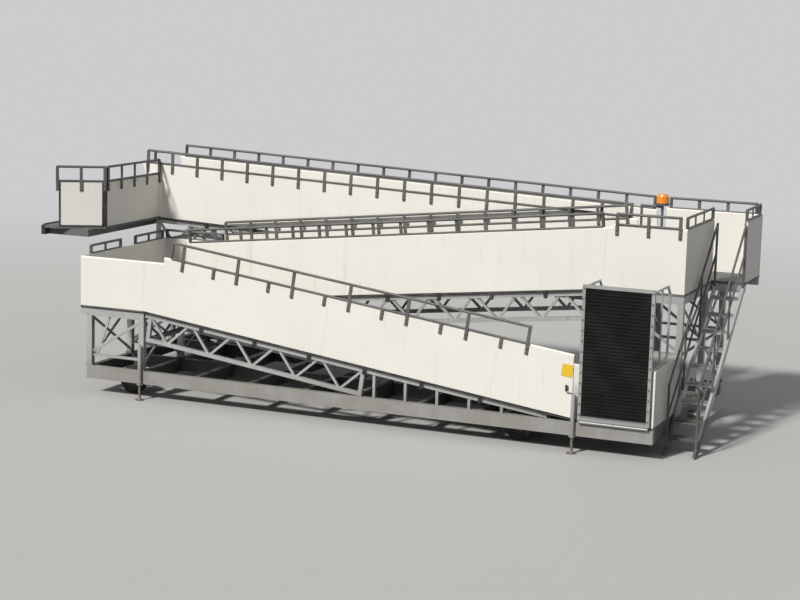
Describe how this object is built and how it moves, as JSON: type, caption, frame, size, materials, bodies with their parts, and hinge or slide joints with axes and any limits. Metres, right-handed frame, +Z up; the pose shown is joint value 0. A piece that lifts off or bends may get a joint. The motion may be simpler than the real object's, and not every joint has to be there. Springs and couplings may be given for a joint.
{
  "type": "mobile aircraft boarding ramp",
  "caption": "Wheeled step-free boarding ramp: side-by-side zig-zag flights with truss sides, two landings, levelling top platform, folding entry flap and service stair",
  "frame": {"origin": "centre of the overall box, on the ground", "axes": "+X along the chassis towards the service stair, +Y from the entry side to the far side, +Z up"},
  "size_m": [10.85, 4.2078, 3.6335],
  "materials": {
    "galvanised_steel": "hot-dip galvanised, matt spangle",
    "running_gear": "black chassis paint, road dust",
    "white_panel": "smooth cream-white coated sheet",
    "dark_rail": "weathered dark grey steel tube",
    "deck_plate": "grey anti-slip plate",
    "tyre": "black solid tyre",
    "rim": "grey painted disc",
    "jack_steel": "zinc-plated screw leg",
    "flap_black": "black ribbed anti-slip face in a light frame",
    "ram_chrome": "hard-chromed rod",
    "bumper_rubber": "black moulded rubber",
    "amber_lens": "amber beacon dome"
  },
  "bodies": {
    "chassis": {"chassis_frame": "galvanised_steel", "chassis_ties": "galvanised_steel", "axle_fixed": "running_gear", "axle_steered": "running_gear", "tower_left": "galvanised_steel", "tower_right": "galvanised_steel", "jack_sleeves": "galvanised_steel", "lift_masts": "running_gear", "entry_deck": "deck_plate", "entry_guard": "white_panel", "flight_one_truss": "galvanised_steel", "flight_one_deck": "deck_plate", "flight_one_panels": "white_panel", "flight_one_rails": "dark_rail", "flight_two_truss": "galvanised_steel", "flight_two_deck": "deck_plate", "flight_two_panels": "white_panel", "flight_two_rails": "dark_rail", "landing_one_deck": "deck_plate", "landing_one_panels": "white_panel", "landing_one_rails": "dark_rail", "landing_two_deck": "deck_plate", "landing_two_panels": "white_panel", "landing_two_rails": "dark_rail", "stair_steps": "galvanised_steel", "stair_rails": "dark_rail", "beacon_post": "dark_rail", "beacon_lens": "amber_lens"},
    "jack_1": {"jack_leg_1": "jack_steel"},
    "jack_2": {"jack_leg_2": "jack_steel"},
    "jack_3": {"jack_leg_3": "jack_steel"},
    "jack_4": {"jack_leg_4": "jack_steel"},
    "wheel_1": {"tyre_1": "tyre", "rim_1": "rim"},
    "wheel_2": {"tyre_2": "tyre", "rim_2": "rim"},
    "wheel_3": {"tyre_3": "tyre", "rim_3": "rim"},
    "wheel_4": {"tyre_4": "tyre", "rim_4": "rim"},
    "knuckle_front": {"knuckle_front": "running_gear"},
    "knuckle_back": {"knuckle_back": "running_gear"},
    "tie_rod": {"tie_rod": "running_gear"},
    "flap": {"entry_flap": "flap_black", "flap_hoops": "galvanised_steel"},
    "lift_rams": {"mast_rams": "ram_chrome"},
    "upper_flight": {"flight_three_truss": "galvanised_steel", "flight_three_deck": "deck_plate", "flight_three_panels": "white_panel", "flight_three_rails": "dark_rail"},
    "top_platform": {"platform_deck": "deck_plate", "platform_panels": "white_panel", "platform_rails": "dark_rail", "bumper": "bumper_rubber"}
  },
  "joints": [
    {"name": "jack_slide_1", "type": "slide", "parent": "chassis", "child": "jack_1", "axis": [0, 0, 1], "range_m": [0, 0.18]},
    {"name": "jack_slide_2", "type": "slide", "parent": "chassis", "child": "jack_2", "axis": [0, 0, 1], "range_m": [0, 0.18]},
    {"name": "jack_slide_3", "type": "slide", "parent": "chassis", "child": "jack_3", "axis": [0, 0, 1], "range_m": [0, 0.18]},
    {"name": "jack_slide_4", "type": "slide", "parent": "chassis", "child": "jack_4", "axis": [0, 0, 1], "range_m": [0, 0.18]},
    {"name": "wheel_turn_1", "type": "hinge", "parent": "chassis", "child": "wheel_1", "pos_m": [-3.615, -1.58, 0.22], "axis": [0, 1, 0], "continuous": true},
    {"name": "wheel_turn_2", "type": "hinge", "parent": "chassis", "child": "wheel_2", "pos_m": [-3.615, 1.58, 0.22], "axis": [0, 1, 0], "continuous": true},
    {"name": "steer", "type": "hinge", "parent": "chassis", "child": "knuckle_front", "pos_m": [2.825, -1.415, 0.22], "axis": [0, 0, 1], "range_deg": [-25, 25]},
    {"name": "steer_back", "type": "hinge", "parent": "chassis", "child": "knuckle_back", "pos_m": [2.825, 1.415, 0.22], "axis": [0, 0, 1], "range_deg": [-25, 25]},
    {"name": "tie_turn", "type": "hinge", "parent": "knuckle_front", "child": "tie_rod", "pos_m": [2.655, -1.415, 0.2], "axis": [0, 0, 1], "range_deg": [-25, 25]},
    {"name": "wheel_turn_3", "type": "hinge", "parent": "knuckle_front", "child": "wheel_3", "pos_m": [2.825, -1.58, 0.22], "axis": [0, 1, 0], "continuous": true},
    {"name": "wheel_turn_4", "type": "hinge", "parent": "knuckle_back", "child": "wheel_4", "pos_m": [2.825, 1.58, 0.22], "axis": [0, 1, 0], "continuous": true},
    {"name": "flap_fold", "type": "hinge", "parent": "chassis", "child": "flap", "pos_m": [4.36, -2.035, 0.465], "axis": [1, 0, 0], "range_deg": [0, 102.8]},
    {"name": "flight_lift", "type": "hinge", "parent": "chassis", "child": "upper_flight", "pos_m": [3.78232, 1.35, 2.1116], "axis": [0, 1, 0], "range_deg": [-2, 4]},
    {"name": "lift_ram_slide", "type": "slide", "parent": "chassis", "child": "lift_rams", "axis": [0, 0, 1], "range_m": [-0.3, 0.56]},
    {"name": "platform_level", "type": "hinge", "parent": "upper_flight", "child": "top_platform", "pos_m": [-4.58771, 1.35, 2.43605], "axis": [0, 1, 0], "range_deg": [-4, 2]}
  ],
  "couplings": [
    {"joint": "steer_back", "follows": "steer", "ratio": 1},
    {"joint": "tie_turn", "follows": "steer", "ratio": -1},
    {"joint": "lift_ram_slide", "follows": "flight_lift", "m_per_rad": 7.3573},
    {"joint": "platform_level", "follows": "flight_lift", "ratio": -1}
  ]
}
